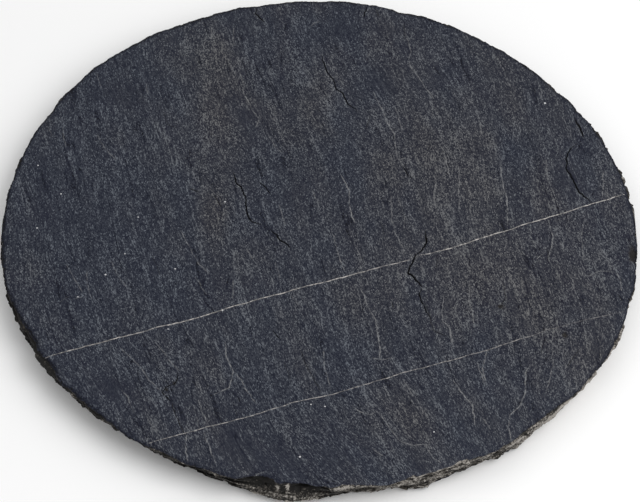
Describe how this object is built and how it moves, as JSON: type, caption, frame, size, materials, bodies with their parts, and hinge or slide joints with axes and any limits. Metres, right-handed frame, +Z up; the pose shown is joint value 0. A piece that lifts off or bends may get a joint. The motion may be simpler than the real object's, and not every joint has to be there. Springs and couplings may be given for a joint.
{
  "type": "slate slab",
  "caption": "Round slab of riven dark slate with a rough hand-dressed edge and fine pale mineral veins across its top; lies flat as a stepping stone, base or serving board.",
  "frame": {"origin": "middle of the slab's box, on the flat underside", "axes": "+Z up through the slab's thickness, from the underside to the riven top face; -Y towards the side whose broken edge is palest, +X to the right of it"},
  "size_m": [0.3992, 0.401, 0.02],
  "materials": {
    "slate": "riven, matt, blue-black slate with a brown-grey broken edge"
  },
  "bodies": {
    "root": {"slab": "slate"}
  },
  "joints": []
}
